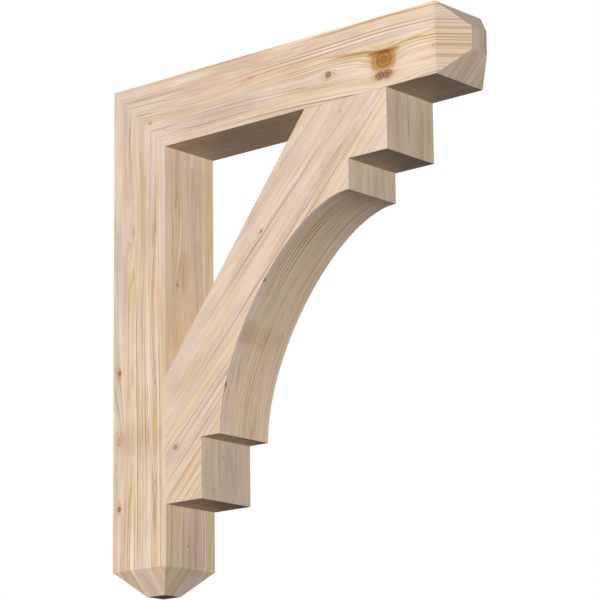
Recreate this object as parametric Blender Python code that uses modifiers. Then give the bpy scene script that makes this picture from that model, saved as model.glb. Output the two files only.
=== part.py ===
# Wooden corbel bracket: a square post against the wall, a square beam standing out
# from its top, and a curved brace between them. Metres, +X out from the wall, +Z up.
# The origin is the centre of the flat face that lies on the wall.
import math

import bpy
from mathutils import Vector

# Timber
TIMBER = 0.1397             # post, beam and brace are all this wide; post and beam this deep
POST_HEIGHT = 1.016         # top of the beam down to the tip of the foot
BEAM_PROJECTION = 0.8636    # wall face out to the tip of the beam
END_CHAMFER = 0.0476        # four 45 degree chamfers on the beam's tip and on the post's foot
JOINT_GAP = 0.0003          # clearance between two pieces that are glued face to face

# Brace, measured from the corner where the post's face meets the beam's soffit
BRACE_RUN = 0.5588          # out along the soffit
BRACE_DROP = 0.7112         # down the post
NOSE_DEPTH = 0.1185         # outer riser under the soffit
NOSE_TREAD = 0.0931         # flat underside behind the outer riser
COVE_DEPTH = 0.0593         # second riser, down to the top of the curve
TOE_DEPTH = 0.1185          # lowest riser, above the brace's flat foot
TOE_TREAD = 0.0931          # flat foot beside the post
TOE_STEP = 0.0466           # small ledge between the lowest riser and the curve
SOFFIT_LEG = 0.3602         # length of the inner edge's cut along the soffit
POST_LEG = 0.4608           # length of the inner edge's cut down the post
CURVE_PULL = 0.427          # how far the curve holds on to its ends, as a share of its span
CURVE_STEPS = 32

# Finish: planed softwood, colour as linear RGB
POST_COLOUR = (0.66, 0.50, 0.35, 1.0)
BEAM_COLOUR = (0.68, 0.51, 0.36, 1.0)
BRACE_COLOUR = (0.64, 0.48, 0.33, 1.0)
WOOD_ROUGHNESS = 0.62
WOOD_METALLIC = 0.0

HALF = TIMBER / 2
TOP = (POST_HEIGHT - END_CHAMFER) / 2
FOOT = TOP - POST_HEIGHT
SOFFIT = TOP - TIMBER


def clear_scene():
    for old in list(bpy.data.objects):
        bpy.data.objects.remove(old, do_unlink=True)


def make_collection(name):
    made = bpy.data.collections.new(name)
    bpy.context.scene.collection.children.link(made)
    return made


def move_to(obj, collection):
    for current in list(obj.users_collection):
        current.objects.unlink(obj)
    collection.objects.link(obj)


def make_material(name, colour):
    material = bpy.data.materials.new(name)
    material.use_nodes = True
    shader = material.node_tree.nodes["Principled BSDF"]
    shader.inputs["Base Color"].default_value = colour
    shader.inputs["Roughness"].default_value = WOOD_ROUGHNESS
    shader.inputs["Metallic"].default_value = WOOD_METALLIC
    return material


def make_box(name, size, centre, collection):
    bpy.ops.mesh.primitive_cube_add(size=1.0, location=centre)
    box = bpy.context.object
    box.name = name
    box.data.name = name
    box.scale = size
    bpy.ops.object.transform_apply(location=False, rotation=False, scale=True)
    move_to(box, collection)
    return box


def chamfer_end(box, direction):
    # Marks the four edges round the end that faces this way, and bevels them flat.
    mesh = box.data
    reach = max(vertex.co.dot(direction) for vertex in mesh.vertices)
    at_end = [abs(vertex.co.dot(direction) - reach) < JOINT_GAP for vertex in mesh.vertices]
    weights = mesh.attributes.new("bevel_weight_edge", "FLOAT", "EDGE")
    for edge in mesh.edges:
        first, second = edge.vertices
        weights.data[edge.index].value = 1.0 if at_end[first] and at_end[second] else 0.0
    bevel = box.modifiers.new("End chamfer", "BEVEL")
    bevel.limit_method = "WEIGHT"
    bevel.offset_type = "OFFSET"
    bevel.width = END_CHAMFER
    bevel.segments = 1


def cut_mitre(piece, side, cutters):
    # Takes off what lies past the 45 degree joint. The side is +1 for what is above it.
    size = 3 * TIMBER
    normal = Vector((1.0, 0.0, 1.0)).normalized() * side
    middle = Vector((HALF, 0.0, TOP - HALF))
    centre = middle + normal * (size / 2 - JOINT_GAP / 2)
    cutter = make_box(piece.name + "_mitre_cutter", (size, size, size), centre, cutters)
    cutter.rotation_euler = (0.0, math.radians(45), 0.0)
    cutter.display_type = "WIRE"
    cutter.hide_render = True
    cut = piece.modifiers.new("Mitre", "BOOLEAN")
    cut.operation = "DIFFERENCE"
    cut.solver = "EXACT"
    cut.object = cutter


def make_post(parts, cutters):
    size = (TIMBER, TIMBER, POST_HEIGHT)
    post = make_box("post", size, (HALF, 0.0, TOP - POST_HEIGHT / 2), parts)
    chamfer_end(post, Vector((0.0, 0.0, -1.0)))
    cut_mitre(post, 1, cutters)
    post.data.materials.append(make_material("post_wood", POST_COLOUR))


def make_beam(parts, cutters):
    size = (BEAM_PROJECTION, TIMBER, TIMBER)
    beam = make_box("beam", size, (BEAM_PROJECTION / 2, 0.0, TOP - HALF), parts)
    chamfer_end(beam, Vector((1.0, 0.0, 0.0)))
    cut_mitre(beam, -1, cutters)
    beam.data.materials.append(make_material("beam_wood", BEAM_COLOUR))


def brace_outline():
    # The brace's corners, out and down from the inner corner, with the two curve ends.
    toe_out = TOE_TREAD + TOE_STEP
    nose_in = BRACE_RUN - NOSE_TREAD
    cove_low = NOSE_DEPTH + COVE_DEPTH
    toe_high = BRACE_DROP - TOE_DEPTH
    curve_low = (toe_out, toe_high)
    curve_high = (nose_in, cove_low)
    corners = [
        (JOINT_GAP, POST_LEG),
        (SOFFIT_LEG, JOINT_GAP),
        (BRACE_RUN, JOINT_GAP),
        (BRACE_RUN, NOSE_DEPTH),
        (nose_in, NOSE_DEPTH),
        curve_high,
        curve_low,
        (TOE_TREAD, toe_high),
        (TOE_TREAD, BRACE_DROP),
        (JOINT_GAP, BRACE_DROP),
    ]
    return corners, curve_high, curve_low


def make_brace(parts):
    corners, curve_high, curve_low = brace_outline()
    outline = bpy.data.curves.new("brace", "CURVE")
    outline.dimensions = "2D"
    outline.fill_mode = "BOTH"
    outline.extrude = HALF
    outline.resolution_u = CURVE_STEPS
    spline = outline.splines.new("BEZIER")
    spline.bezier_points.add(len(corners) - 1)
    spline.use_cyclic_u = True
    spline.resolution_u = CURVE_STEPS
    for point, (out, down) in zip(spline.bezier_points, corners):
        point.co = (out, -down, 0.0)
        point.handle_left_type = "VECTOR"
        point.handle_right_type = "VECTOR"
    # The curve leaves its top end level and reaches its lower end upright.
    high = spline.bezier_points[corners.index(curve_high)]
    low = spline.bezier_points[corners.index(curve_low)]
    span_out = curve_high[0] - curve_low[0]
    span_down = curve_low[1] - curve_high[1]
    high.handle_right_type = "FREE"
    high.handle_right = high.co + Vector((-CURVE_PULL * span_out, 0.0, 0.0))
    low.handle_left_type = "FREE"
    low.handle_left = low.co + Vector((0.0, CURVE_PULL * span_down, 0.0))
    brace = bpy.data.objects.new("brace", outline)
    brace.location = (TIMBER, 0.0, SOFFIT)
    brace.rotation_euler = (math.radians(90), 0.0, 0.0)
    parts.objects.link(brace)
    outline.materials.append(make_material("brace_wood", BRACE_COLOUR))


def main():
    clear_scene()
    parts = make_collection("wooden_corbel_bracket")
    cutters = make_collection("cutters")
    make_post(parts, cutters)
    make_beam(parts, cutters)
    make_brace(parts)
    bpy.context.view_layer.update()


main()
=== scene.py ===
import math

import bmesh
import bpy
from mathutils import Matrix, Vector


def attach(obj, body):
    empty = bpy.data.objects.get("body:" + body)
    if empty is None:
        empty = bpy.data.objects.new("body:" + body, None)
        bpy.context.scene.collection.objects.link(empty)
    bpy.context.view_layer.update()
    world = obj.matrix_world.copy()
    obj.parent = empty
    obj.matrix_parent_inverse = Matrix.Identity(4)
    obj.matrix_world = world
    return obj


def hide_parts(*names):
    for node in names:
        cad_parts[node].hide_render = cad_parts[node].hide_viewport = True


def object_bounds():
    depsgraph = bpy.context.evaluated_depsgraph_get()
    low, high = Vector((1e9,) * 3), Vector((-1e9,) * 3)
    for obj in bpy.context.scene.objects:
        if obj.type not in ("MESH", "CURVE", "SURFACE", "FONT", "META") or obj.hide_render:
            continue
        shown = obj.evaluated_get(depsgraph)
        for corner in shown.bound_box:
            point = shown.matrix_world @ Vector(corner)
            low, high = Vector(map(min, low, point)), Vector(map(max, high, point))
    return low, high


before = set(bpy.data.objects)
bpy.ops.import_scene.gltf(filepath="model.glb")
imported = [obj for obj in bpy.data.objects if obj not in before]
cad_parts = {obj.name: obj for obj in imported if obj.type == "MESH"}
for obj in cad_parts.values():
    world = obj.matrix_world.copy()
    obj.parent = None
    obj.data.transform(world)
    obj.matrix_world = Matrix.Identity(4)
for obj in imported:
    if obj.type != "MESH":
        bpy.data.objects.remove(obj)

cadLow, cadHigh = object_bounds()
inch = 0.0254


# A socket that can be used in sums. Numbers and other sockets both work beside it.
class Wire:
    def __init__(self, tree, socket=None):
        self.tree = tree
        self.socket = socket

    # Any node: its type, its settings, and the values or links of its sockets.
    def make(self, kind, settings=None, inputs=None, output=0):
        node = self.tree.nodes.new(kind)
        for name, value in (settings or {}).items():
            if name == "items":
                for _ in range(value - len(node.index_switch_items)):
                    node.index_switch_items.new()
            else:
                setattr(node, name, value)
        for name, value in (inputs or {}).items():
            socket = node.inputs[name]
            if isinstance(value, Wire):
                self.tree.links.new(value.socket, socket)
            elif isinstance(value, list):
                for wire in value:
                    self.tree.links.new(wire.socket, socket)
            else:
                socket.default_value = value
        return Wire(self.tree, node.outputs[output] if node.outputs else None)

    def also(self, output):
        return Wire(self.tree, self.socket.node.outputs[output])

    def sum(self, operation, *values):
        return self.make("ShaderNodeMath", {"operation": operation}, dict(enumerate(values)))

    def apply(self, operation):
        return self.sum(operation, self)

    # The X of a vector, from which also("Y") and also("Z") lead on
    def parts(self):
        return self.make("ShaderNodeSeparateXYZ", {}, {0: self})

    def __add__(self, other):
        return self.sum("ADD", self, other)

    def __radd__(self, other):
        return self.sum("ADD", other, self)

    def __sub__(self, other):
        return self.sum("SUBTRACT", self, other)

    def __rsub__(self, other):
        return self.sum("SUBTRACT", other, self)

    def __mul__(self, other):
        return self.sum("MULTIPLY", self, other)

    def __rmul__(self, other):
        return self.sum("MULTIPLY", other, self)

    def __truediv__(self, other):
        return self.sum("DIVIDE", self, other)

    def __rtruediv__(self, other):
        return self.sum("DIVIDE", other, self)

    def __pow__(self, other):
        return self.sum("POWER", self, other)

    def __rpow__(self, other):
        return self.sum("POWER", other, self)

    def __neg__(self):
        return self.sum("MULTIPLY", self, -1.0)

    def __gt__(self, other):
        return self.sum("GREATER_THAN", self, other)

    def __lt__(self, other):
        return self.sum("LESS_THAN", self, other)


# Camera

cameraView = {
    "azimuth": 40.571,      # degrees, 0 looks along +Y
    "elevation": -13.679,   # the camera stands below and looks up
    "roll": -0.700,
    "distance": 5.4176,
    "lens": 172.132,        # mm on a 36 mm wide sensor
    "aimRight": -0.00626,   # metres from the middle of the bracket
    "aimUp": 0.02026,
}


def makeCamera(view):
    azimuth, elevation, roll = (math.radians(view[k]) for k in ("azimuth", "elevation", "roll"))
    back = Vector((math.sin(azimuth) * math.cos(elevation),
                   -math.cos(azimuth) * math.cos(elevation), math.sin(elevation)))
    level = Vector((math.cos(azimuth), math.sin(azimuth), 0.0))
    upright = back.cross(level)
    right = level * math.cos(roll) + upright * math.sin(roll)
    up = upright * math.cos(roll) - level * math.sin(roll)
    middle = (Vector(cadLow) + Vector(cadHigh)) / 2
    place = middle + right * view["aimRight"] + up * view["aimUp"] + back * view["distance"]
    lens = bpy.data.cameras.new("photoCamera")
    lens.sensor_width = 36.0
    lens.lens = view["lens"]
    lens.dof.use_dof = False
    lens.clip_end = 100.0
    camera = bpy.data.objects.new("photoCamera", lens)
    turn = Matrix((right, up, back)).transposed().to_4x4()
    camera.matrix_world = Matrix.Translation(place) @ turn
    bpy.context.scene.collection.objects.link(camera)
    bpy.context.scene.camera = camera


# Studio

studio = {
    "background": (1.0, 1.0, 1.0),
    "ambientColour": (1.0, 0.985, 0.96),
    "ambient": 0.04,
    "floorDrop": 1.22,      # under the foot, so the bracket hangs at about shoulder height
    "floorSize": 40.0,
    "floorColour": (0.86, 0.85, 0.83),
    # name: (direction from the bracket, distance, size, watts, colour, does it cast shadows)
    "lamps": {
        "key": ((0.12, -0.99, -0.05), 12.0, 4.5, 1215.0, (1.0, 1.0, 1.0), True),
        "side": ((0.80, -0.58, -0.12), 6.0, 1.5, 255.0, (0.94, 1.0, 1.08), False),
        "top": ((-0.10, 0.25, 1.0), 3.2, 1.6, 45.0, (1.0, 1.0, 1.0), True),
        "rim": ((-0.25, 0.95, 0.25), 4.5, 2.4, 125.0, (1.0, 1.0, 1.0), True),
        "wall": ((-0.93, 0.30, 0.15), 5.0, 2.4, 130.0, (1.0, 1.0, 1.0), True),
    },
}


def makeStudio(look):
    scene = bpy.context.scene
    scene.view_settings.view_transform = "Standard"
    world = bpy.data.worlds.new("studio")
    scene.world = world
    world.use_nodes = True
    tree = world.node_tree
    tree.nodes.clear()
    start = Wire(tree)
    seen = start.make("ShaderNodeBackground", {}, {"Color": (*look["background"], 1.0),
                                                   "Strength": 1.0})
    given = start.make("ShaderNodeBackground", {}, {"Color": (*look["ambientColour"], 1.0),
                                                    "Strength": look["ambient"]})
    straight = start.make("ShaderNodeLightPath", output="Is Camera Ray")
    both = start.make("ShaderNodeMixShader", {}, {0: straight, 1: given, 2: seen})
    start.make("ShaderNodeOutputWorld", {}, {"Surface": both})

    bpy.ops.mesh.primitive_plane_add(size=look["floorSize"],
                                     location=(0.0, 0.0, cadLow[2] - look["floorDrop"]))
    floor = bpy.context.object
    floor.name = "studioFloor"
    floor.visible_diffuse = False
    floor.visible_glossy = False
    material = bpy.data.materials.new("studioFloor")
    material.use_nodes = True
    shader = material.node_tree.nodes["Principled BSDF"]
    # Evenly pale from every side: it gives its own light, which reaches nothing else
    shader.inputs["Base Color"].default_value = (0.0, 0.0, 0.0, 1.0)
    shader.inputs["Specular IOR Level"].default_value = 0.0
    shader.inputs["Emission Color"].default_value = (*look["floorColour"], 1.0)
    shader.inputs["Emission Strength"].default_value = 1.0
    shader.inputs["Roughness"].default_value = 0.9
    floor.data.materials.append(material)

    middle = (Vector(cadLow) + Vector(cadHigh)) / 2
    for name, (direction, distance, size, watts, colour, shadows) in look["lamps"].items():
        lamp = bpy.data.lights.new(name, "AREA")
        lamp.size = size
        lamp.energy = watts
        lamp.color = colour
        lamp.use_shadow = shadows
        away = Vector(direction).normalized()
        holder = bpy.data.objects.new(name, lamp)
        holder.visible_camera = False
        holder.location = middle + away * distance
        holder.rotation_euler = away.to_track_quat("Z", "Y").to_euler()
        scene.collection.objects.link(holder)


makeCamera(cameraView)
makeStudio(studio)
print("camera and studio ready")


# Shapes

# Both timbers have this form. One input per size.
timber = {
    "Section": 0.1397,
    "Chamfer": 0.0476,
    "Joint": 0.00006,       # what shows of a glued joint
}
arris = 0.0007              # the planed edges are just broken
beamLength = cadHigh[0] - cadLow[0]
postLength = cadHigh[2] - cadLow[2]
topHeight = cadHigh[2]
half = timber["Section"] / 2

brace = {
    "Run": 0.5588,
    "Drop": 0.7112,
    "Nose Depth": 0.1185,
    "Nose Tread": 0.0931,
    "Cove Depth": 0.0593,
    "Toe Depth": 0.1185,
    "Toe Tread": 0.0931,
    "Toe Step": 0.0466,
    "Soffit Leg": 0.3602,
    "Post Leg": 0.4608,
    "Pull": 0.427,          # how far the cove holds on to its ends
    "Steps": 64,            # stations along the cove
    "Section": timber["Section"],
    "Joint": timber["Joint"],
}


def newTree(name, sizes):
    tree = bpy.data.node_groups.new(name, "GeometryNodeTree")
    tree.interface.new_socket("Geometry", in_out="OUTPUT", socket_type="NodeSocketGeometry")
    for size, value in sizes.items():
        kind = "NodeSocketInt" if isinstance(value, int) else "NodeSocketFloat"
        tree.interface.new_socket(size, in_out="INPUT", socket_type=kind)
    tree.interface.new_socket("Material", in_out="INPUT", socket_type="NodeSocketMaterial")
    start = Wire(tree)
    group = start.make("NodeGroupInput")
    return start, {size: group.also(size) for size in [*sizes, "Material"]}


def endTree(start, shape, given):
    whole = start.make("GeometryNodeRealizeInstances", {}, {0: shape})
    done = start.make("GeometryNodeSetMaterial", {}, {"Geometry": whole, "Material": given["Material"]})
    start.make("NodeGroupOutput", {}, {0: done})
    return start.tree


# A square stick with a mitred root at 0 and a four-sided chamfered tip at its full length.
def timberTree(sizes):
    start, given = newTree("chamferedTimber", sizes)
    cube = start.make("GeometryNodeMeshCube", {}, {"Size": (1.0, 1.0, 1.0), "Vertices X": 3,
                                                   "Vertices Y": 2, "Vertices Z": 2})
    place = start.make("GeometryNodeInputPosition")
    x = place.parts()
    y, z = x.also("Y"), x.also("Z")
    atTip = x > 0.25
    atRoot = x < -0.25
    between = 1.0 - atTip - atRoot
    section, chamfer = given["Section"], given["Chamfer"]
    wide = section - 2.0 * chamfer * atTip
    depth = section / 2.0 - z * wide
    along = (atTip * given["Length"] + between * (given["Length"] - chamfer)
             + atRoot * (depth + given["Joint"]))
    moved = start.make("ShaderNodeCombineXYZ", {}, {0: along, 1: y * wide, 2: -depth})
    shape = start.make("GeometryNodeSetPosition", {}, {"Geometry": cube, "Position": moved})
    return endTree(start, shape, given)


# The brace's outline, out and down from the inner corner, pulled into a solid.
def braceTree(sizes):
    start, given = newTree("covedBrace", sizes)
    run, drop, joint = given["Run"], given["Drop"], given["Joint"]
    noseIn = run - given["Nose Tread"]
    coveHigh = given["Nose Depth"] + given["Cove Depth"]
    toeHigh = drop - given["Toe Depth"]
    toeOut = given["Toe Tread"] + given["Toe Step"]
    steps = given["Steps"]
    before = [(joint, given["Post Leg"]), (given["Soffit Leg"], joint), (run, joint),
              (run, given["Nose Depth"]), (noseIn, given["Nose Depth"])]
    after = [(given["Toe Tread"], toeHigh), (given["Toe Tread"], drop), (joint, drop)]
    corners = before + after

    line = start.make("GeometryNodeMeshLine", {}, {"Count": steps + 1.0 + len(corners)})
    index = start.make("GeometryNodeInputIndex")
    share = (index - float(len(before))) / steps
    past = share > 1.0
    onCove = (share > -1e-6) - past
    corner = start.make("GeometryNodeIndexSwitch", {"data_type": "VECTOR", "items": len(corners)},
                        {"Index": index - past * (steps + 1.0)})
    switch = corner.socket.node
    for number, (out, down) in enumerate(corners):
        spot = start.make("ShaderNodeCombineXYZ", {}, {0: out, 1: -1.0 * down})
        start.tree.links.new(spot.socket, switch.inputs[number + 1])
    # Cubic from the upper end, where it is level, to the lower end, where it is upright.
    rest = 1.0 - share
    nearEnd = 3.0 * rest * share * share
    farEnd = share * share * share
    first = rest * rest * rest
    second = 3.0 * rest * rest * share
    spanOut = noseIn - toeOut
    spanDown = toeHigh - coveHigh
    out = noseIn * (first + second) - spanOut * given["Pull"] * second + toeOut * (nearEnd + farEnd)
    down = (coveHigh * (first + second) + toeHigh * (nearEnd + farEnd)
            - spanDown * given["Pull"] * nearEnd)
    cove = start.make("ShaderNodeCombineXYZ", {}, {0: out, 1: -down})
    spot = start.make("GeometryNodeSwitch", {"input_type": "VECTOR"},
                      {"Switch": onCove, "False": corner, "True": cove})
    placed = start.make("GeometryNodeSetPosition", {}, {"Geometry": line, "Position": spot})
    curve = start.make("GeometryNodeMeshToCurve", {}, {0: placed})
    ring = start.make("GeometryNodeSetSplineCyclic", {}, {"Geometry": curve, "Cyclic": True})
    face = start.make("GeometryNodeFillCurve", {"mode": "NGONS"}, {"Curve": ring})
    up = start.make("ShaderNodeCombineXYZ", {}, {2: given["Section"]})
    raised = start.make("GeometryNodeExtrudeMesh", {}, {"Mesh": face, "Offset": up,
                                                        "Offset Scale": 1.0, "Individual": False})
    base = start.make("GeometryNodeFlipFaces", {}, {"Mesh": face})
    both = start.make("GeometryNodeJoinGeometry", {}, {0: [raised, base]})
    solid = start.make("GeometryNodeMergeByDistance", {}, {"Geometry": both, "Distance": 0.00001})
    return endTree(start, solid, given)


# Runs a tree once and keeps its result as a plain mesh object.
def growPiece(name, tree, sizes, material):
    carrier = bpy.data.objects.new(name + "Carrier", bpy.data.meshes.new(name + "Carrier"))
    bpy.context.scene.collection.objects.link(carrier)
    modifier = carrier.modifiers.new("grow", "NODES")
    modifier.node_group = tree
    values = {**sizes, "Material": material}
    for item in tree.interface.items_tree:
        if item.item_type == "SOCKET" and item.in_out == "INPUT":
            modifier[item.identifier] = values[item.name]
    evaluated = carrier.evaluated_get(bpy.context.evaluated_depsgraph_get())
    mesh = bpy.data.meshes.new_from_object(evaluated)
    while mesh.materials[0] is None:
        mesh.materials.pop(index=0)
    carrier.modifiers.remove(modifier)
    bpy.data.objects.remove(carrier, do_unlink=True)
    mesh.name = name
    piece = bpy.data.objects.new(name, mesh)
    bpy.context.scene.collection.objects.link(piece)
    return piece


# Breaks every sharp edge but those for which isJoint says the edge lies in a glued joint.
def easeArrises(mesh, width, isJoint):
    form = bmesh.new()
    form.from_mesh(mesh)
    bmesh.ops.recalc_face_normals(form, faces=form.faces)
    sharp = [edge for edge in form.edges
             if edge.calc_face_angle(0.0) > math.radians(20) and not isJoint(edge)]
    bmesh.ops.bevel(form, geom=sharp, offset=width, offset_type="OFFSET", segments=2,
                    profile=0.5, affect="EDGES", clamp_overlap=True, material=-1)
    for edge in form.edges:
        edge.smooth = edge.calc_face_angle(0.0) < math.radians(50)
    form.to_mesh(mesh)
    form.free()


def onPlane(edge, point, normal):
    reach = 3.0 * timber["Joint"]
    return all(abs((vertex.co - point).dot(normal)) < reach for vertex in edge.verts)


# The faces lie along the grain: u runs with it and v across, in metres. The sides of a piece
# lie in bands of the map, a metre or more apart, so that no two sides look alike.
def layGrain(mesh, sides, marked, cove=None):
    mesh.uv_layers.new(name="grain")
    # The first layer holds each corner's painted light and shade; the second holds how far its grain is
    # cut across
    mesh.attributes.new("tone", "FLOAT", "CORNER")
    mesh.attributes.new("cut", "FLOAT", "CORNER")
    grain = mesh.uv_layers["grain"]
    tones, cuts = mesh.attributes["tone"], mesh.attributes["cut"]
    slots = {band: number + 1 for number, band in enumerate(marked)}
    for material in marked.values():
        mesh.materials.append(material)
    flat = [side for side in sides if "curved" not in side]
    curved = [side for side in sides if "curved" in side]
    for face in mesh.polygons:
        # The cove's faces look out from the wall or down, so not the straight inner edge's
        looksOut = face.normal.x > -0.3 and abs(face.normal.y) < 0.3
        onCove = cove and looksOut and cove["holds"](face.center)
        best = max(curved if onCove else flat,
                   key=lambda side: face.normal.dot(side["normal"]) + side.get("prefer", 0.0))
        face.material_index = slots.get(best["band"], 0)
        # Painted light and shade: a side's wood is darkened or lightened by a factor of its own, going
        # from low to high along its height or a given axis, standing in for how light falls on that
        # side
        low, high = best.get("tones", (1.0, 1.0))
        axis = best.get("toneAxis", 2)
        for loop in face.loop_indices:
            spot = mesh.vertices[mesh.loops[loop].vertex_index].co
            along = cove["follow"](spot) if onCove else spot.dot(best["along"]) + best["shift"]
            across = spot.dot(best["across"]) + best["band"]
            grain.data[loop].uv = (along, across)
            share = (spot[axis] - cadLow[axis]) / (cadHigh[axis] - cadLow[axis])
            tones.data[loop].value = low + (high - low) * share
            cuts.data[loop].value = best.get("cut", 0.0)


def finishMesh(piece):
    for face in piece.data.polygons:
        face.use_smooth = True
    weights = piece.modifiers.new("flat faces", "WEIGHTED_NORMAL")
    weights.keep_sharp = True
    weights.weight = 100
    mesh = bpy.data.meshes.new_from_object(
        piece.evaluated_get(bpy.context.evaluated_depsgraph_get()))
    piece.modifiers.remove(weights)
    old = piece.data
    piece.data = mesh
    bpy.data.meshes.remove(old)
    mesh.name = piece.name


# Wood

# One softwood for all three pieces. Lengths in metres, colours linear.
wood = {
    "cream": (0.945, 0.782, 0.615),     # early wood, the lightest
    "pink": (0.758, 0.580, 0.486),
    "honey": (0.798, 0.608, 0.372),
    "peach": (0.860, 0.584, 0.392),
    # what the colour under it is multiplied by
    "line": (0.62, 0.45, 0.31),         # late wood
    "tan": (0.67, 0.54, 0.42),
    "eye": (0.96, 0.83, 0.62),          # inside the long eyes
    "rust": (0.80, 0.57, 0.36),
    "ochre": (0.72, 0.50, 0.22),
    "mauve": (0.87, 0.86, 0.89),
    "brown": (0.42, 0.235, 0.10),       # knots
    "ringWidth": 0.0062,
    "ringDrift": 2.2,                   # how much the ring widths vary
    "ringHue": 0.12,                    # and their colours
    "lineStrength": 0.75,
    "creamStrength": 0.55,
    "fineStrength": 0.50,
    "dashStrength": 0.35,
    "cutGain": 0.4,
    "fibreStrength": 0.34,
    "cloudDepth": 0.10,
    "poreDepth": 0.12,
    "redness": 0.12,
    "warmFalls": (0.78, 1.30),          # how fast red and blue fall where a fibre is dark
    "bandEdges": (0.40, 0.62),          # how sharply pink turns to honey
    "bandWarm": 0.70,
    "bandLight": 0.50,
    "calm": 0.40,                       # the lines' strength between their clusters
    "wander": 0.018,
    "waver": 0.0015,
    "roughness": 0.56,
    "bump": 0.00015,
}


def mixColour(factor, low, high, blend="MIX"):
    low, high = (one if isinstance(one, Wire) else (*one, 1.0) for one in (low, high))
    return factor.make("ShaderNodeMix", {"data_type": "RGBA", "blend_type": blend},
                       {0: factor, 6: low, 7: high}, output=2)


# Light colours are laid on, dark ones soak in.
lightShades = ("cream", "pink", "honey", "peach")


def tinge(factor, colour, look, shade):
    blend = "MIX" if shade in lightShades else "MULTIPLY"
    return mixColour(factor, colour, look[shade], blend)


def ease(value, low, high, toLow=0.0, toHigh=1.0):
    return value.make("ShaderNodeMapRange", {"interpolation_type": "SMOOTHSTEP"},
                      {"Value": value, "From Min": low, "From Max": high,
                       "To Min": toLow, "To Max": toHigh})


def streaks(along, across, drift, long, wide, detail):
    spot = along.make("ShaderNodeCombineXYZ", {}, {0: along / long, 1: across / wide, 2: drift})
    return spot.make("ShaderNodeTexNoise", {"noise_dimensions": "3D"},
                     {"Vector": spot, "Scale": 1.0, "Detail": detail, "Roughness": 0.55})


def chanceOf(number):
    return number.make("ShaderNodeTexWhiteNoise", {"noise_dimensions": "1D"}, {"W": number})


# A mark's own frame: 0 at its middle, 1 at its edge, both ways.
def markFrame(uv, middle, reach):
    scaled = [1.0 / size for size in reach]
    return uv.make("ShaderNodeVectorMath", {"operation": "MULTIPLY_ADD"},
                   {0: uv, 1: (*scaled, 0.0),
                    2: (-middle[0] * scaled[0], -middle[1] * scaled[1], 0.0)})


def squared(vector):
    return vector.make("ShaderNodeVectorMath", {"operation": "DOT_PRODUCT"},
                       {0: vector, 1: vector}, output="Value")


# 1 in the middle of a mark, about a third at its edge and soon nothing beyond
def fallOff(near):
    return 0.3679 ** near


# What runs along the grain: its place in the noise, its length, width and detail, and the two
# heights of the noise between which it comes out
streakForms = {
    "bandA": (7.7, 0.80, 0.034, 1.0),
    "bandB": (12.3, 0.45, 0.013, 1.0, 0.46, 0.68),
    "bandC": (24.6, 0.55, 0.019, 1.0, 0.45, 0.70),
    "cluster": (41.2, 0.50, 0.015, 1.0),
    "fine": (15.9, 0.22, 0.0019, 2.0, 0.53, 0.66),
    "dash": (33.0, 0.034, 0.0018, 1.0, 0.64, 0.74),
    "fibre": (1.9, 0.050, 0.0010, 2.0),
    "strand": (5.3, 0.110, 0.0036, 2.0),
    "pores": (9.1, 0.012, 0.0006, 1.0, 0.66, 0.74),
    "cloud": (21.0, 0.13, 0.045, 2.0, 0.35, 0.70),
    "red": (51.7, 0.090, 0.0028, 1.0),
}


def streakOf(name, along, field, drift):
    place, long, wide, detail, *heights = streakForms[name]
    found = streaks(along, field, drift + place, long, wide, detail)
    return ease(found, *heights) if heights else found


# Where the fibres run, as a distance across the grain, with each eye's and knot's own frame
def bendGrain(look, marks, uv, along, across, drift):
    field = (across + look["wander"] * (streaks(along, across, drift, 0.60, 0.075, 0.0) - 0.5)
             + look["waver"] * (streaks(along, across, drift, 0.10, 0.018, 1.0) - 0.5))
    for middle, reach, lift in marks["bends"]:
        near = squared(markFrame(uv, middle, reach))
        field = field + lift * fallOff(near)
    eyes = []
    for middle, reach, tint in marks["eyes"]:
        spot = markFrame(uv, middle, reach)
        long = spot.parts()
        side = long.also("Y")
        rim = side.apply("ABSOLUTE") + long * long
        field = field - (0.8 * reach[1]) * side * fallOff(0.4 * squared(spot))
        eyes.append((rim, tint))
    knots = []
    for middle, size, depth, circles, shade in marks["knots"]:
        spot = markFrame(uv, middle, (size * 2.6, size * 1.3))
        near = squared(spot)
        side = spot.parts().also("Y")
        field = field - (1.2 * size) * side / (near + 0.35)
        inner = squared(markFrame(uv, middle, (size * 1.15, size)))
        knots.append((inner, near, depth, circles, shade))
    return field, eyes, knots


# Growth rings: cream at the start of each, a thin brown line at its end
def growRings(look, along, field, drift):
    ring = field / look["ringWidth"] + look["ringDrift"] * field.make(
        "ShaderNodeTexNoise", {"noise_dimensions": "1D"},
        {"W": field / (look["ringWidth"] * 5.0), "Scale": 1.0, "Detail": 1.0})
    number = ring.apply("FLOOR")
    phase = ring - number
    chance, hue, glow = (chanceOf(number + seed) for seed in (0.0, 31.7, 71.3))
    broken = streaks(along, number * 5.7, drift + 3.1, 0.16, 1.0, 1.0)
    fade = ease(broken, 0.38, 0.58)
    late = ease(phase, 0.68, 0.88) * ease(phase, 0.94, 1.0, 1.0, 0.0)
    early = ease(phase, 0.04, 0.42, 1.0, 0.0)
    line = late * (chance * chance * 0.85 + 0.15) * fade
    return hue, glow, fade, early, line


# Stains of light colours lie under the lines, dark ones over them.
def layStains(colour, look, uv, strand, marks, light):
    for middle, reach, strength, shade, slope in marks["stains"]:
        if light != (shade in lightShades):
            continue
        spot = markFrame(uv, middle, reach)
        if slope:
            out = spot.parts()
            lean = out.also("Y") - (slope * reach[0] / reach[1]) * out
            near = out * out + lean * lean
        else:
            near = squared(spot)
        blot = fallOff(near * near) * ease(strand, 0.30, 0.62, 0.55, 1.0)
        colour = tinge(blot * strength, colour, look, shade)
    return colour


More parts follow.
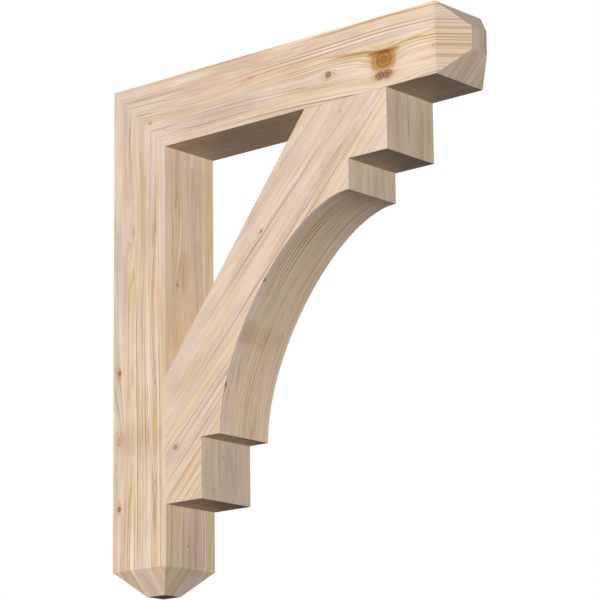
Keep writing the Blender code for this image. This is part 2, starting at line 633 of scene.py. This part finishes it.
# A long eye: tan inside, then a thin line, a pale rim and another line
def layEyes(colour, look, eyes, fade):
    broken = fade * 0.6 + 0.4
    for rim, tint in eyes:
        colour = tinge(ease(rim, 1.05, 0.55, 0.0, tint), colour, look, "eye")
        pale = (rim - 1.30) * 7.0
        colour = tinge(fallOff(pale * pale) * (0.25 + 0.35 * tint), colour, look, "cream")
        for place, depth in ((1.05, 0.38 + 0.55 * tint), (1.58, 0.52)):
            edge = (rim - place) * 11.0
            colour = tinge(fallOff(edge * edge) * broken * depth, colour, look, "line")
    return colour


# Single lines that follow the grain
def layLines(colour, look, flow, marks):
    for middle, reach, strength, shade in marks["lines"]:
        near = squared(markFrame(flow, middle, reach))
        colour = tinge(fallOff(near * near) * strength, colour, look, shade)
    return colour


# Squarish dark fields
def layPatches(colour, look, uv, strand, marks):
    for middle, reach, strength, shade in marks["patches"]:
        spot = markFrame(uv, middle, reach)
        near = squared(spot.make("ShaderNodeVectorMath", {"operation": "MULTIPLY"},
                                 {0: spot, 1: spot}))
        square = fallOff((near * near) * (near * near))
        blot = square * ease(strand, 0.30, 0.62, 0.75, 1.0)
        colour = tinge(blot * strength, colour, look, shade)
    return colour


def layKnots(colour, look, knots, strand):
    for inner, near, depth, circles, shade in knots:
        halo = ease(near, 2.2, 0.2)
        colour = tinge(halo * (0.35 * depth), colour, look, "tan")
        body = ease(inner + 0.5 * (strand - 0.5), 1.35, 0.95) * depth
        if circles:
            turns = inner.apply("SQRT") * (2.0 * math.pi * circles)
            body = body * (0.68 - 0.32 * turns.apply("COSINE"))
        colour = tinge(body, colour, look, shade)
    return colour


def woodMaterial(name, look, marks):
    material = bpy.data.materials.new(name)
    material.use_nodes = True
    tree = material.node_tree
    shader = tree.nodes["Principled BSDF"]
    start = Wire(tree)
    uv = start.make("ShaderNodeUVMap", {"uv_map": "grain"})
    along = uv.parts()
    across = along.also("Y")
    # Each side's painted light and shade: a factor on the colour
    tone = start.make("ShaderNodeAttribute", {"attribute_name": "tone"}, output="Fac")
    cut = start.make("ShaderNodeAttribute", {"attribute_name": "cut"}, output="Fac")
    # Post and beam share one grain up to the mitre and part from there on.
    drift = look["seed"] * start.sum("MAXIMUM", along - look["sameUntil"], 0.0)

    field, eyes, knots = bendGrain(look, marks, uv, along, across, drift)
    flow = start.make("ShaderNodeCombineXYZ", {}, {0: along, 1: field})
    hue, glow, fade, early, line = growRings(look, along, field, drift)

    # Broad bands of colour, fine lines, fibres and short pores, all along the same grain
    bandA = ease(streakOf("bandA", along, field, drift) + look["ringHue"] * (hue - 0.5),
                 *look["bandEdges"])
    bandB = streakOf("bandB", along, field, drift)
    bandC = streakOf("bandC", along, field, drift)
    cluster = ease(streakOf("cluster", along, field, drift), 0.42, 0.58, look["calm"], 1.0)
    fine, dash, fibre, strand, pores = (streakOf(kind, along, field, drift)
                                        for kind in ("fine", "dash", "fibre", "strand", "pores"))
    cloud = streakOf("cloud", along, across, drift)

    colour = mixColour(bandA, look["pink"], look["honey"])
    colour = mixColour(bandC * look["bandWarm"], colour, look["peach"])
    colour = mixColour(bandB * look["bandLight"], colour, look["cream"])
    colour = mixColour(early * glow * fade * look["creamStrength"], colour, look["cream"])
    colour = layStains(colour, look, uv, strand, marks, True)
    # Lines are stronger where the grain is cut across.
    thin = fine * look["fineStrength"] + dash * look["dashStrength"]
    thin = thin * cluster * (1.0 + look["cutGain"] * cut)
    colour = tinge(thin, colour, look, "line")
    deepLine = line * cluster * (look["lineStrength"] * (1.0 + look["cutGain"] * cut))
    colour = tinge(start.sum("MINIMUM", deepLine, 1.0), colour, look, "line")
    colour = layEyes(colour, look, eyes, fade)
    colour = layLines(colour, look, flow, marks)
    colour = layStains(colour, look, uv, strand, marks, False)
    colour = layPatches(colour, look, uv, strand, marks)
    colour = layKnots(colour, look, knots, strand)

    light = 1.0 + look["fibreStrength"] * (fibre + strand - 1.0) - look["cloudDepth"] * cloud
    light = light * (1.0 - look["poreDepth"] * pores)
    # Darker fibres are warmer too, and some are redder than others
    red = streakOf("red", along, field, drift) - 0.5
    redFall, blueFall = look["warmFalls"]
    # The colour is multiplied by the fibres' brightness and by the side's painted light and shade
    fibresAndPaintedLight = start.make("ShaderNodeCombineXYZ", {},
                       {0: light ** redFall * tone * (1.0 + look["redness"] * red),
                        1: light * tone,
                        2: light ** blueFall * tone * (1.0 - look["redness"] * red)})
    tinted = start.make("ShaderNodeVectorMath", {"operation": "MULTIPLY"}, {0: colour, 1: fibresAndPaintedLight})
    tree.links.new(tinted.socket, shader.inputs["Base Color"])

    rough = look["roughness"] + 0.10 * (fibre - 0.5) + 0.06 * line
    tree.links.new(rough.socket, shader.inputs["Roughness"])
    relief = fibre * 0.5 + line * 0.5 - pores * 0.6
    bump = start.make("ShaderNodeBump", {}, {"Height": relief, "Strength": 0.6,
                                             "Distance": look["bump"]})
    tree.links.new(bump.socket, shader.inputs["Normal"])
    return material


# Marks on the wood are given in inches: on the near faces (out from the wall, down from the
# top), on the outward faces (in from the near side, down from the top), on the cove (in from
# the near side, along from its upper end). Every mark starts with its place and its half
# length and half width; a knot has one size. Then follow
#   bends: lift     eyes: tint     knots: strength, circles, colour
#   lines, patches: strength, colour     stains: strength, colour, slope
markKinds = ("bends", "eyes", "knots", "lines", "stains", "patches")
# How many values follow, and what the last one is where a row leaves it out
usualEnds = {"knots": (3, "brown"), "lines": (2, "line"), "stains": (3, 0.0)}


# The marks of each band of the map, ready for the material
def placeMarks(sides, marks):
    bands = {}
    for sideName, groups in marks.items():
        side = next(one for one in sides if one["name"] == sideName)
        placed = bands.setdefault(side["band"], {kind: [] for kind in markKinds})
        for kind, rows in groups.items():
            count, usual = usualEnds.get(kind, (0, None))
            for (first, down), size, *rest in rows:
                if "curved" in side:
                    at = (down * inch, -half + first * inch + side["band"])
                else:
                    spot = Vector((first * inch, -half, topHeight - down * inch))
                    if side["facesOut"]:
                        spot = Vector((0.0, -half + first * inch, topHeight - down * inch))
                    at = (spot.dot(side["along"]) + side["shift"],
                          spot.dot(side["across"]) + side["band"])
                size = tuple(one * inch for one in size) if isinstance(size, tuple) else size * inch
                if kind == "bends":
                    rest = [rest[0] * inch]
                if len(rest) < count:
                    rest.append(usual)
                placed[kind].append((at, size, *rest))
    return bands


# One wood for the whole piece, and a marked one for each side that has marks
def makeWoods(name, look, sides, marks):
    plain = woodMaterial(name + "Wood", look, {kind: [] for kind in markKinds})
    marked = {}
    for number, (band, placed) in enumerate(placeMarks(sides, marks).items()):
        marked[band] = woodMaterial(f"{name}Marked{number + 1}", look, placed)
    return plain, marked


# The grain of a cut face starts where the face it is cut from ends; slow draws it out.
def makeSide(name, normal, along, across, band, start=None, facesOut=False, slow=1.0, **more):
    side = {"name": name, "normal": Vector(normal).normalized(),
            "along": Vector(along).normalized() * slow,
            "across": Vector(across).normalized(), "band": float(band), "facesOut": facesOut,
            "shift": 0.0, **more}
    if start:
        spot, value = start
        side["shift"] = value - Vector(spot).dot(side["along"])
    return side


tip = beamLength - timber["Chamfer"]
foot = topHeight - postLength + timber["Chamfer"]

# Across runs from the outer edge inwards on the near faces, so that the grain meets at the mitre.
# Where a side is given a pair of factors, these are painted light and shade: its wood is darkened or
# lightened from the first to the second, along its height or along the axis given. On the beam, the
# soffit is painted darker, more so towards the tip, and the chamfers and the tip are painted darker.
beamSides = [
    makeSide("near", (0, -1, 0), (1, 0, 0), (0, 0, 1), -topHeight, prefer=0.01),
    makeSide("far", (0, 1, 0), (1, 0, 0), (0, 0, 1), 1),
    makeSide("top", (0, 0, 1), (1, 0, 0), (0, 1, 0), 2),
    makeSide("soffit", (0, 0, -1), (1, 0, 0), (0, 1, 0), 3, tones=(0.64, 0.51), toneAxis=0),
    makeSide("nearChamfer", (1, -1, 0), (1, 1, 0), (0, 0, 1), -topHeight,
             start=((tip, -half, 0), tip), slow=0.08, cut=1.0, tones=(0.735, 0.735)),
    makeSide("farChamfer", (1, 1, 0), (1, -1, 0), (0, 0, 1), 1,
             start=((tip, half, 0), tip), slow=0.08, cut=1.0),
    makeSide("topChamfer", (1, 0, 1), (1, 0, -1), (0, 1, 0), 4,
             start=((tip, 0, topHeight), tip), cut=1.0, tones=(0.8, 0.8)),
    makeSide("tip", (1, 0, 0), (0, 0, -1), (0, 1, 0), 4, cut=1.0, tones=(0.9, 0.9)),
    makeSide("soffitChamfer", (1, 0, -1), (-1, 0, -1), (0, 1, 0), 4, cut=1.0, tones=(0.9, 0.9)),
]
# Painted light and shade here too: the outward side is lighter towards the top, the near and outward
# chamfers are painted lighter, and the foot is painted darker
postSides = [
    makeSide("near", (0, -1, 0), (0, 0, -1), (-1, 0, 0), 0, start=((0, 0, topHeight), 0.0),
             prefer=0.01),
    makeSide("far", (0, 1, 0), (0, 0, -1), (-1, 0, 0), 1),
    makeSide("wall", (-1, 0, 0), (0, 0, -1), (0, 1, 0), 2),
    makeSide("outward", (1, 0, 0), (0, 0, -1), (0, 1, 0), 3, facesOut=True, tones=(0.96, 1.06)),
    makeSide("nearChamfer", (0, -1, -1), (0, 1, -1), (-1, 0, 0), 0,
             start=((0, -half, foot), topHeight - foot), cut=1.0, tones=(1.12, 1.12)),
    makeSide("farChamfer", (0, 1, -1), (0, -1, -1), (-1, 0, 0), 1, cut=1.0),
    makeSide("wallChamfer", (-1, 0, -1), (1, 0, -1), (0, 1, 0), 2, cut=1.0),
    makeSide("outwardChamfer", (1, 0, -1), (-1, 0, -1), (0, 1, 0), 3,
             start=((2 * half, 0, foot), -foot), cut=1.0, tones=(1.08, 1.08)),
    makeSide("foot", (0, 0, -1), (1, 0, 0), (0, 1, 0), 4, cut=1.0, tones=(0.7, 0.7)),
]
braceGrain = math.radians(46)
braceAlong = (math.cos(braceGrain), 0, math.sin(braceGrain))
braceAcross = (-math.sin(braceGrain), 0, math.cos(braceGrain))
lean = Vector((brace["Soffit Leg"], 0.0, brace["Post Leg"])).normalized()
# Painted light and shade: the treads are darker, more so out towards the nose, the risers are darker
# towards the top, and the cove is lighter at its lower end and darker at its upper end
braceSides = [
    makeSide("near", (0, -1, 0), braceAlong, braceAcross, 0, prefer=0.01),
    makeSide("far", (0, 1, 0), braceAlong, braceAcross, 1.5),
    makeSide("risers", (1, 0, 0), (0, 0, -1), (0, 1, 0), 3, facesOut=True, tones=(0.97, 0.85)),
    makeSide("treads", (0, 0, -1), (1, 0, 0), (0, 1, 0), 4, tones=(0.84, 0.48), toneAxis=0),
    makeSide("inner", (-lean.z, 0, lean.x), tuple(lean), (0, 1, 0), 5),
    makeSide("seatOnPost", (-1, 0, 0), (0, 0, 1), (0, 1, 0), 7),
    makeSide("seatUnderBeam", (0, 0, 1), (1, 0, 0), (0, 1, 0), 8),
    makeSide("cove", (1, 0, -1), (1, 0, 0), (0, 1, 0), 6, curved=True,
             tones=(1.25, 0.85)),
]

# Half widths of the lines, in inches
hair = 0.032
thread = 0.0351
stroke = 0.0413
bold = 0.0468
broad = 0.0585

# The corner is calm on both timbers alike, so that it meets at the mitre.
cornerStains = [((2.75, 2.75), (5.5, 3.2), 0.4, "pink"), ((2.75, 2.75), (5.5, 3.2), 0.3, "cream")]
# Streaks that run out over the tip's near chamfer: down, half width, strength
tipStreaks = [(2.05, 0.11, 0.85), (3.3, 0.12, 0.9), (3.6, 0.2, 0.7), (1.25, 0.05, 0.65),
              (1.48, 0.05, 0.65), (2.55, 0.05, 0.75), (2.78, 0.04, 0.65), (3.02, 0.04, 0.6),
              (4.05, 0.04, 0.55)]

beamNear = {
    "bends": [
        ((27.3, 3.05), (1.9, 0.85), 0.88),
        ((16.5, 0.9), (5, 0.35), 0.25),
        ((9.5, 2.4), (4.5, 0.9), 0.4),
    ],
    "eyes": [
        ((10.5, 4.1), (4.2, 0.3), 0.3),
    ],
    "knots": [
        ((27.35, 3.36), 0.6, 1, 1.5, "ochre"),
        ((26.95, 4.55), 0.31, 1, 1.5),
        ((27.65, 4.55), 0.31, 1, 1.5),
        ((22.05, 3.38), 0.27, 1, 1),
        ((3.9, 3.3), 0.15, 0.4, 0),
    ],
    "lines": [
        ((24, 1.18), (11, stroke), 0.74),
        ((23.5, 1.32), (10, 0.068), 0.69, "cream"),
        ((23.5, 1.46), (11, bold), 1),
        ((24, 1.6), (10, 0.075), 0.75, "cream"),
        ((20, 1.78), (8, stroke), 0.74),
        ((21, 0.75), (12, 0.2), 0.45, "honey"),
        ((20.5, 2.46), (9, stroke), 0.74),
        ((31.5, 2.46), (3, stroke), 0.81),
        ((21.5, 2.64), (8, thread), 0.68),
        ((31.5, 2.66), (3, thread), 0.74),
        ((20.5, 2.86), (7.5, thread), 0.61),
        ((31.5, 2.86), (3, thread), 0.68),
        ((22, 3.02), (5.5, hair), 0.54),
        ((11.5, 3.7), (5, broad), 0.47),
        ((11, 4.38), (5, broad), 0.61),
        ((23, 5.12), (11, broad), 0.81),
        ((24, 5.34), (10, thread), 0.61),
        ((23, 5), (9, 0.075), 0.69, "cream"),
        ((9.5, 0.2), (8.5, 0.12), 0.55, "rust"),
        ((26, 0.4), (7, 0.0702), 0.81, "rust"),
        ((26, 0.26), (7, 0.075), 0.75, "cream"),
        ((4, 1.12), (2.8, stroke), 0.68),
        ((4, 1.24), (2.8, 0.075), 0.75, "cream"),
        ((3.8, 1.5), (2.6, thread), 0.74),
        ((3.2, 2.35), (1, broad), 1, "rust"),
        ((4.2, 2.5), (1.8, 0.075), 0.75, "cream"),
        ((4, 2.66), (1.6, thread), 0.68),
        ((4.2, 2.95), (1.6, thread), 0.61),
    ],
    "stains": [
        ((23.9, 2.3), (2.4, 0.13), 0.95, "rust", -0.13),
        ((30.4, 2.3), (2.2, 0.1), 0.8, "rust", 0.12),
        ((26.5, 2.3), (0.45, 0.09), 0.45, "rust", -0.5),
        ((28.1, 2.3), (0.45, 0.09), 0.45, "rust", 0.5),
        ((11, 2.7), (5.5, 1.8), 0.45, "mauve"),
        ((13.9, 2.05), (0.9, 0.1), 0.45, "tan", 0.15),
        ((14.4, 1.9), (0.35, 0.16), 0.45, "tan"),
        ((21.8, 3.8), (0.38, 0.06), 0.7, "rust"),
        ((22.6, 3.4), (0.2, 0.08), 0.7, "ochre", -0.5),
        ((26.54, 4.55), (0.06, 0.28), 0.7, "brown"),
        ((28.06, 4.55), (0.06, 0.28), 0.7, "brown"),
        *cornerStains,
        ((27.3, 4.55), (0.7, 0.36), 0.45, "tan"),
        ((33.4, 2.75), (1.8, 2.6), 0.6, "honey"),
        *(((33.4, down), (1.6, wide), strength, "rust") for down, wide, strength in tipStreaks),
        ((31.95, 3.42), (0.12, 0.14), 0.6, "ochre"),
    ],
    "patches": [
        ((27.3, 3.45), (1.18, 0.72), 1, "ochre"),
        ((27.3, 2.78), (1.5, 0.12), 1, "ochre"),
        ((27.3, 2.72), (1.35, 0.09), 0.55, "brown"),
    ],
}

postNear = {
    "bends": [
        ((2.15, 11.4), (4.4, 0.62), 0.9),
        ((0.7, 28.1), (3.6, 0.7), 0.75),
    ],
    "eyes": [
        ((4.4, 18), (5, 0.36), 0.8),
        ((4.4, 27.9), (3.2, 0.25), 0.95),
        ((4.4, 37.2), (4.6, 0.36), 0.8),
    ],
    "knots": [
        ((0.66, 22.75), 0.17, 0.9, 1),
        ((0.66, 33.35), 0.21, 0.95, 1),
        ((0.8, 28.1), 0.34, 0.25, 1.5),
    ],
    "lines": [
        ((1.56, 20.5), (6, stroke), 0.68),
        ((1.56, 36), (4, stroke), 0.68),
        ((1.85, 20), (3, 0.1), 0.81, "cream"),
        ((2, 36.5), (3, 0.14), 0.94, "cream"),
        ((2.28, 36), (3, stroke), 0.74),
        ((2.42, 28), (11, 0.09), 0.88, "cream"),
        ((2.56, 28), (12, stroke), 1),
        ((2.78, 28), (11, thread), 0.68),
        ((3, 28), (11, 0.3), 0.45, "honey"),
        ((3.15, 26), (9, hair), 0.54),
        ((3.52, 28), (11, stroke), 0.68),
        ((3.68, 22), (6, 0.075), 0.56, "cream"),
        ((3.66, 34), (5, 0.075), 0.56, "cream"),
        ((3.95, 22), (5.5, 0.105), 0.94, "cream"),
        ((3.95, 34), (5.5, 0.105), 0.94, "cream"),
        ((4.62, 28), (12, 0.09), 0.75, "cream"),
        ((4.78, 28), (12, bold), 0.94),
        ((5.05, 28), (11, thread), 0.61),
        ((1.2, 35.5), (4, thread), 0.54),
        ((0.95, 36), (4, thread), 0.41),
        ((2.9, 7), (4.5, 0.12), 0.55, "honey"),
        ((2.72, 6.5), (4, thread), 0.81, "rust"),
        ((3.05, 6.5), (4, thread), 0.68),
        ((1.45, 5), (3.2, bold), 0.74),
        ((2.35, 5), (3, 0.075), 0.75, "cream"),
    ],
    "stains": [
        ((0.35, 30), (9, 0.16), 0.3, "tan"),
        ((0.75, 28), (1, 0.5), 0.4, "rust"),
        ((1.4, 28), (1.4, 0.12), 0.5, "tan"),
        ((2.1, 28.1), (1.2, 0.7), 0.35, "tan"),
        ((3.2, 28), (0.8, 0.45), 0.3, "tan"),
        ((3.76, 28.1), (1, 0.07), 0.8, "rust"),
        ((4.95, 28.2), (0.8, 0.3), 0.3, "tan"),
        ((3.1, 9.8), (2.8, 0.4), 0.3, "tan"),
        ((3.42, 8.2), (1.1, 0.08), 0.6, "tan"),
        ((2.15, 11.8), (0.5, 0.22), 0.55, "tan"),
        ((2.15, 15.2), (0.6, 0.12), 0.55, "tan"),
        ((4.35, 12.2), (1.2, 0.26), 0.45, "tan"),
        ((2.05, 23.2), (0.9, 0.09), 0.75, "rust", -0.04),
        ((1.85, 32.4), (1.3, 0.09), 0.7, "rust", 0.14),
        ((1.75, 3.6), (1.6, 0.1), 0.65, "tan", 0.06),
        ((0.5, 14), (5, 0.45), 0.3, "mauve"),
        ((0.25, 22.4), (0.6, 0.07), 0.45, "tan"),
        ((0.25, 33.6), (0.6, 0.07), 0.45, "tan"),
        ((0.72, 33.1), (0.75, 0.2), 0.35, "rust"),
        *cornerStains,
    ],
}

postOutward = {
    "bends": [
        ((1.2, 37.8), (1.7, 0.4), 0.3),
        ((1.4, 16.6), (3, 0.6), 0.7),
    ],
    "eyes": [
        ((3.6, 36), (3.6, 0.4), 0.45),
        ((1.1, 9.8), (1.3, 0.2), 0.3),
        ((3.6, 17.6), (2.6, 0.36), 0.15),
        ((3.15, 6.6), (2.2, 0.26), 0.35),
    ],
    "knots": [
        ((2.5, 36.4), 0.07, 0.7, 0),
        ((1.35, 16.3), 0.14, 0.4, 0),
    ],
    "lines": [
        ((0.8, 10), (5, thread), 0.81),
        ((1.5, 11), (5.5, thread), 0.88),
        ((1.9, 11), (6, thread), 0.88),
        ((2.2, 10), (5, 0.3), 0.45, "honey"),
        ((2.65, 12), (6, thread), 0.61),
        ((1.85, 35.5), (4, thread), 0.74),
        ((2.3, 35.5), (4, 0.3), 0.4, "honey"),
        ((2.85, 35.5), (4, thread), 0.68),
        ((0.7, 35.5), (4, thread), 0.68),
        ((4.75, 35.5), (4, thread), 0.61),
    ],
    "stains": [
        ((2.15, 15), (1.7, 0.45), 0.45, "tan"),
        ((1.2, 9.6), (0.9, 0.1), 0.65, "tan", -0.14),
        ((3.2, 20.5), (6, 2.8), 0.45, "mauve"),
        ((2.75, 12), (9, 4.5), 0.35, "mauve"),
        ((2.8, 20), (6.5, 3.4), 0.6, "honey"),
        ((0.9, 20.8), (4.5, 1.4), 0.75, "honey"),
        ((0.9, 20.8), (4.5, 1.4), 0.45, "mauve"),
        ((1.35, 37.3), (0.6, 0.14), 0.4, "tan"),
        ((3.2, 7.8), (1.6, 0.26), 0.35, "rust"),
    ],
}

braceNear = {
    "eyes": [
        ((8, 24.3), (2.8, 0.26), 0.5),
        ((17.7, 14.7), (3.3, 0.3), 0.6),
        ((22.7, 9.6), (3, 0.26), 0.65),
        ((15.4, 12), (2.6, 0.2), 0.6),
        ((12.6, 19.9), (2.4, 0.2), 0.35),
        ((7.6, 31.4), (2.4, 0.24), 0.45),
    ],
    "knots": [
        ((23.15, 6.4), 0.09, 0.45, 0),
        ((15.3, 14.1), 0.12, 0.6, 0),
        ((6.55, 29.3), 0.2, 0.75, 1),
    ],
    "lines": [
        ((10.9, 25.2), (4, hair), 0.75),
        ((11.2, 25.5), (4, hair), 0.65),
        ((7, 28.5), (4, hair), 0.7),
        ((7.6, 29.9), (3, hair), 0.7),
        ((7.9, 31.6), (2.5, hair), 0.75),
        ((15.6, 16.4), (5, hair), 0.55),
        ((19.5, 13.2), (4, hair), 0.65),
        ((22, 8.2), (4, hair), 0.7),
        ((12.5, 17.4), (7, thread), 0.81),
        ((13, 17.6), (7, hair), 0.68),
        ((13.5, 18.6), (8, 0.045), 0.44, "cream"),
        ((14, 18.8), (8, thread), 0.88),
        ((13.6, 19.3), (7, hair), 0.68),
        ((17, 12.8), (7, thread), 0.81),
        ((16.6, 12.6), (7, 0.045), 0.44, "cream"),
        ((17.4, 12.5), (6, hair), 0.68),
        ((9.2, 26.2), (6, thread), 0.88),
        ((9.4, 26.6), (6, hair), 0.74),
        ((9.8, 27.6), (5, thread), 0.88),
        ((10, 28), (5, hair), 0.74),
        ((8.4, 30.4), (4, thread), 0.81),
        ((8.9, 30.8), (4, thread), 0.81),
        ((9, 31.2), (4, 0.06), 0.56, "cream"),
        ((8.6, 32), (3, thread), 0.88),
        ((8.8, 32.6), (3, thread), 0.88, "rust"),
        ((21.5, 11.9), (4, thread), 0.81),
        ((21.2, 12.3), (4, hair), 0.68),
        ((24.5, 8.9), (4, thread), 0.81),
        ((20, 6.9), (4, thread), 0.74),
    ],
    "stains": [
        ((13.6, 14.9), (9, 0.5), 0.35, "peach"),
        ((10.4, 22.8), (1, 0.16), 0.45, "eye"),
        ((7.2, 24.4), (4.5, 1.2), 0.4, "pink"),
        ((20.5, 9.2), (1, 0.1), 0.4, "tan"),
        ((11.5, 22.2), (5, 0.8), 0.25, "pink"),
        ((13.8, 16.6), (7, 2.2), 0.25, "cream"),
        ((14.2, 12.6), (1.4, 0.16), 0.4, "rust"),
    ],
}

braceRisers = {
    "bends": [
        ((1.4, 31.6), (1.9, 0.42), 0.25),
    ],
    "eyes": [
        ((3.6, 29.4), (3.2, 0.42), 0.4),
        ((3.6, 12.3), (1.6, 0.36), 0.15),
        ((3.9, 8.4), (2, 0.2), 0.2),
    ],
    "knots": [
        ((2.45, 30.1), 0.07, 0.5, 0),
        ((1.35, 32.7), 0.16, 0.22, 0),
    ],
    "lines": [
        ((1.85, 31), (2.8, thread), 0.74),
        ((2.85, 31), (2.8, thread), 0.68),
        ((0.55, 31), (2.8, thread), 0.61),
        ((1.85, 8), (2.6, thread), 0.61),
        ((2.6, 7.4), (1.6, thread), 0.81),
        ((4.3, 8), (2.6, thread), 0.54),
        ((2.35, 11.5), (1.4, thread), 0.61),
    ],
    "stains": [
        ((1.3, 8.9), (1.8, 0.9), 0.3, "mauve"),
        ((2.3, 6.2), (1.4, 0.35), 0.45, "honey"),
        ((2.3, 30.8), (2.2, 0.28), 0.35, "honey"),
    ],
}

braceCove = {
    "eyes": [
        ((3.65, 9.2), (2.6, 0.26), 0.4),
        ((3.6, 14.6), (2.6, 0.22), 0.8),
        ((3.6, 21.4), (3.7, 0.4), 0.45),
        ((1.25, 21.2), (2, 0.24), 0.2),
        ((1.2, 11), (1, 0.14), 0.8),
    ],
    "knots": [
        ((0.05, 10.2), 0.16, 0.9, 0),
        ((0.05, 18.6), 0.16, 0.9, 0),
    ],
    "lines": [
        ((1.35, 5.5), (5, 0.055), 1),
        ((1.62, 6), (5.5, 0.055), 1),
        ((1.95, 7), (6, 0.055), 1),
        ((0.72, 9), (5, thread), 0.88),
        ((1.02, 9.5), (5, thread), 0.81),
        ((4.12, 6), (6.5, 0.05), 1),
        ((3.05, 6), (5, thread), 0.68),
        ((1.75, 18), (5.5, thread), 0.88),
        ((2.15, 16), (7, 0.3), 0.4, "honey"),
        ((2.6, 17), (6, thread), 0.81),
        ((2.95, 17.5), (6, thread), 0.81),
        ((0.55, 19), (4, thread), 0.74),
        ((4.3, 18), (5, thread), 0.81),
        ((4.95, 14), (8, thread), 0.61),
    ],
    "stains": [
        ((2.1, 13), (12, 1.6), 0.6, "honey"),
        ((4.4, 12), (12, 1), 0.4, "peach"),
        ((0.9, 14.4), (1.1, 0.9), 0.6, "tan"),
        ((1.2, 17.6), (1.6, 0.1), 0.8, "rust", 0.18),
        ((3.08, 14.6), (1.3, 0.08), 0.85, "rust"),
        ((2.6, 14.6), (0.9, 0.7), 0.38, "tan"),
        ((4.4, 14.5), (0.8, 0.5), 0.45, "tan"),
    ],
}


def makeTimber(name, length, upright, tree, sides, marks, seed):
    look = {**wood, "seed": seed, "sameUntil": 2 * half}
    plain, marked = makeWoods(name, look, sides, marks)
    piece = growPiece(name + "Timber", tree, {"Length": length, **timber}, plain)
    mesh = piece.data
    lift = Matrix.Translation((0, 0, topHeight))
    if upright:
        # The stick hangs: along goes down and depth goes out from the wall.
        hang = Matrix(((0, 0, -1, 0), (0, 1, 0, 0), (-1, 0, 0, 0), (0, 0, 0, 1)))
        mesh.transform(lift @ hang)
    else:
        mesh.transform(lift)
    corner = Vector((0, 0, topHeight))
    mitre = Vector((1, 0, 1)).normalized()
    easeArrises(mesh, arris, lambda edge: onPlane(edge, corner, mitre))
    layGrain(mesh, sides, marked)
    finishMesh(piece)
    return piece


# Which faces are the cove's, and how far along it a place is.
def measureCove():
    toe = Vector((brace["Toe Tread"] + brace["Toe Step"], 0, -(brace["Drop"] - brace["Toe Depth"])))
    nose = Vector((brace["Run"] - brace["Nose Tread"], 0, -(brace["Nose Depth"] + brace["Cove Depth"])))
    span = nose - toe
    cornerPoints = [nose, nose - Vector((brace["Pull"] * span.x, 0, 0)),
                    toe + Vector((0, 0, brace["Pull"] * span.z)), toe]
    shift = Vector((2 * half, 0, topHeight - 2 * half))
    table = []
    total = 0.0
    last = None
    stations = 200
    for step in range(stations + 1):
        t = step / stations
        weights = ((1 - t) ** 3, 3 * t * (1 - t) ** 2, 3 * t * t * (1 - t), t ** 3)
        spot = sum((point * weight for point, weight in zip(cornerPoints, weights)), Vector()) + shift
        if last:
            total += (spot - last).length
        table.append((spot.z, total))
        last = spot
    low, high = toe + shift, nose + shift

    def holds(centre):
        return (low.x - 0.1 * arris < centre.x < high.x - arris
                and low.z + arris < centre.z < high.z + 0.1 * arris)

    def follow(spot):
        for (highZ, before), (lowZ, after) in zip(table, table[1:]):
            if spot.z >= lowZ:
                share = (highZ - min(spot.z, highZ)) / max(highZ - lowZ, 1e-9)
                return before + (after - before) * share
        return total
    return {"holds": holds, "follow": follow}


# Smoother wood than the timbers', with its lines in fewer clusters
braceWood = {
    **wood,
    "seed": 0.0,
    "sameUntil": 0.0,
    "bandEdges": (0.22, 0.80),
    "bandWarm": 0.40,
    "bandLight": 0.30,
    "creamStrength": 0.30,
    "calm": 0.20,
    "fibreStrength": 0.28,
    "fineStrength": 0.40,
    "lineStrength": 0.65,
}


def makeBrace(tree, sides, marks):
    plain, marked = makeWoods("brace", braceWood, sides, marks)
    piece = growPiece("covedBrace", tree, brace, plain)
    mesh = piece.data
    inner = Vector((2 * half, 0, topHeight - 2 * half))
    stand = Matrix.Translation(inner + Vector((0, half, 0))) @ Matrix.Rotation(math.radians(90), 4, "X")
    mesh.transform(stand)
    seats = (Vector((1, 0, 0)), Vector((0, 0, 1)))
    easeArrises(mesh, arris, lambda edge: any(onPlane(edge, inner, seat) for seat in seats))
    layGrain(mesh, sides, marked, measureCove())
    finishMesh(piece)
    return piece


stick = timberTree({"Length": beamLength, **timber})
beamPiece = makeTimber("beam", beamLength, False, stick, beamSides, {"near": beamNear}, 0.9)
postPiece = makeTimber("post", postLength, True, stick, postSides,
                       {"near": postNear, "outward": postOutward}, -0.9)
bracePiece = makeBrace(braceTree(brace), braceSides,
                       {"near": braceNear, "risers": braceRisers, "cove": braceCove})

for piece, node in ((beamPiece, "beam"), (postPiece, "post"), (bracePiece, "brace")):
    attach(piece, "root")
    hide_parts(node)
print("post, beam and brace made")
